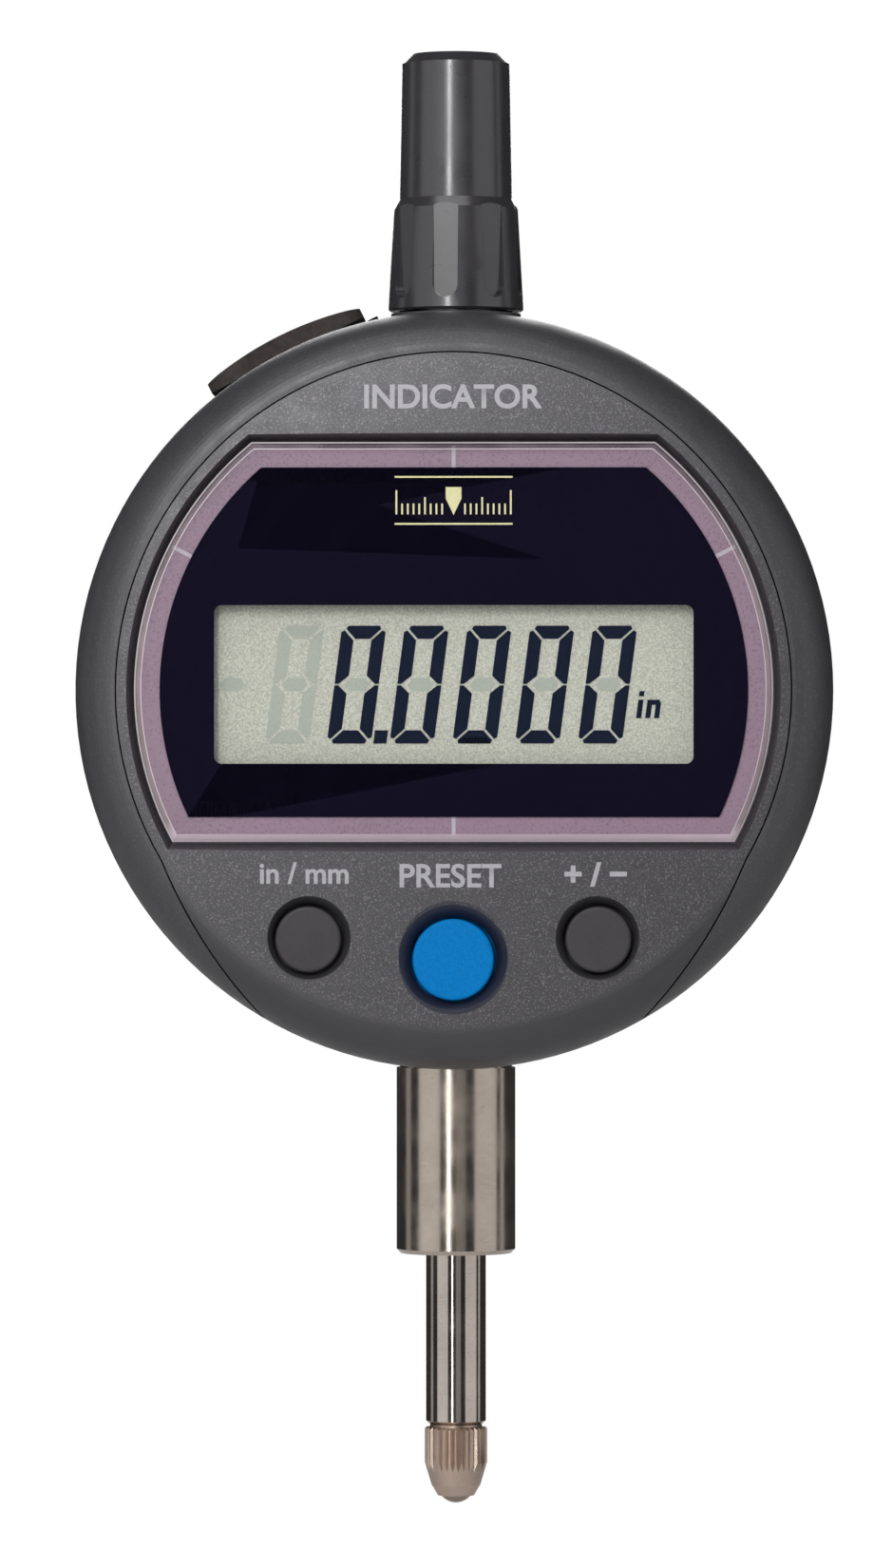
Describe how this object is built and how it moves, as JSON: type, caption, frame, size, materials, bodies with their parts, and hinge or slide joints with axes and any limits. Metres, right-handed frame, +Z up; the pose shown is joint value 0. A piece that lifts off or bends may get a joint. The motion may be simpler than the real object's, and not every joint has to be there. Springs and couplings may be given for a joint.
{
  "type": "dial indicator",
  "caption": "Round digital indicator: clamping stem, sliding spindle with ball contact, solar powered display, push buttons, fluted cap and lug back.",
  "frame": {"origin": "on the stem axis, halfway along the exposed stem", "axes": "+Z up along the stem and spindle axis, toward the case and the cap; the face looks along -Y; +X is to the right as the face is read"},
  "size_m": [0.06, 0.0378, 0.1162],
  "materials": {
    "case_grey": "satin metallic charcoal paint, fine fleck",
    "panel_grey": "satin metallic grey paint, fine fleck",
    "cap_grey": "satin charcoal moulding",
    "lens_clear": "clear polished window",
    "mask_ink": "near black printed mask",
    "cell_mauve": "amorphous solar cell, mauve",
    "lcd_clear": "display glass",
    "lcd_grey": "reflective display back, warm grey",
    "lcd_ink": "display segments, dark",
    "button_grey": "satin dark grey",
    "button_blue": "satin blue",
    "ground_steel": "ground and polished",
    "knurl_steel": "fine turned and knurled",
    "carbide": "polished hard ball",
    "screw_steel": "plated screw",
    "spring_steel": "drawn wire",
    "machined_alloy": "machined, bead blasted",
    "bronze": "turned bearing bronze",
    "contact_gold": "plated contact",
    "rubber_brown": "moulded, matte warm black",
    "rubber_black": "moulded, black",
    "zebra_pink": "elastic connector",
    "key_grey": "moulded key mat",
    "board_green": "solder mask over laminate",
    "chip_black": "moulded package",
    "capacitor_blue": "sleeved can",
    "scale_glass": "coated scale"
  },
  "bodies": {
    "case": {"case_body": "case_grey", "face_cover": "panel_grey", "window_lens": "lens_clear", "display_mask": "mask_ink", "solar_cell_top_left": "cell_mauve", "solar_cell_top_right": "cell_mauve", "solar_cell_bottom_left": "cell_mauve", "solar_cell_bottom_right": "cell_mauve", "lcd_glass": "lcd_clear", "lcd_segments": "lcd_ink", "lcd_reflector": "lcd_grey", "zebra_strips": "zebra_pink", "circuit_board": "board_green", "controller_chip": "chip_black", "storage_capacitor": "capacitor_blue", "encoder_read_head": "chip_black", "board_screws": "screw_steel", "face_cover_screws": "screw_steel", "key_mat": "key_grey", "stem": "ground_steel", "lower_bushing": "bronze", "upper_bushing": "bronze", "stem_seal": "rubber_black", "guide_rail": "machined_alloy", "rail_screws": "screw_steel", "return_spring": "spring_steel", "spring_post_fixed": "screw_steel", "stop_bumper": "rubber_black", "cap_neck": "machined_alloy", "data_connector": "chip_black", "data_contacts": "contact_gold", "data_port_flex": "rubber_black", "rear_cover": "case_grey", "rear_seal": "rubber_black", "rear_cover_screws": "screw_steel"},
    "spindle_group": {"spindle": "ground_steel", "contact_point": "knurl_steel", "contact_ball": "carbide", "scale_carrier": "machined_alloy", "carrier_screw": "screw_steel", "encoder_scale": "scale_glass", "guide_pin": "ground_steel", "spring_post_moving": "screw_steel"},
    "unit_key": {"unit_button": "button_grey"},
    "preset_key": {"preset_button": "button_blue"},
    "sign_key": {"sign_button": "button_grey"},
    "cap_seat": {"cap_o_ring": "rubber_black"},
    "cap": {"spindle_cap": "cap_grey"},
    "port_cover": {"data_port_cover": "rubber_brown"}
  },
  "joints": [
    {"name": "spindle_slide", "type": "slide", "parent": "case", "child": "spindle_group", "axis": [0, 0, 1], "range_m": [0, 0.0127], "stiffness_N_per_m": 40, "springref_m": -0.02, "deforming": ["return_spring"]},
    {"name": "unit_press", "type": "slide", "parent": "case", "child": "unit_key", "axis": [0, 1, 0], "range_m": [0, 0.0005], "stiffness_N_per_m": 1500, "springref_m": -0.0004},
    {"name": "preset_press", "type": "slide", "parent": "case", "child": "preset_key", "axis": [0, 1, 0], "range_m": [0, 0.0005], "stiffness_N_per_m": 1500, "springref_m": -0.0004},
    {"name": "sign_press", "type": "slide", "parent": "case", "child": "sign_key", "axis": [0, 1, 0], "range_m": [0, 0.0005], "stiffness_N_per_m": 1500, "springref_m": -0.0004},
    {"name": "cap_turn", "type": "hinge", "parent": "cap_seat", "child": "cap", "pos_m": [0, 0, 0.07], "axis": [0, 0, 1], "range_deg": [0, 1450]},
    {"name": "cap_rise", "type": "slide", "parent": "case", "child": "cap_seat", "axis": [0, 0, 1], "range_m": [0, 0.004]},
    {"name": "port_cover_pull", "type": "slide", "parent": "case", "child": "port_cover", "axis": [-0.4462, 0, 0.8949], "range_m": [0, 0.01]}
  ],
  "couplings": [
    {"joint": "cap_turn", "follows": "cap_rise", "rad_per_m": 6283.2}
  ]
}
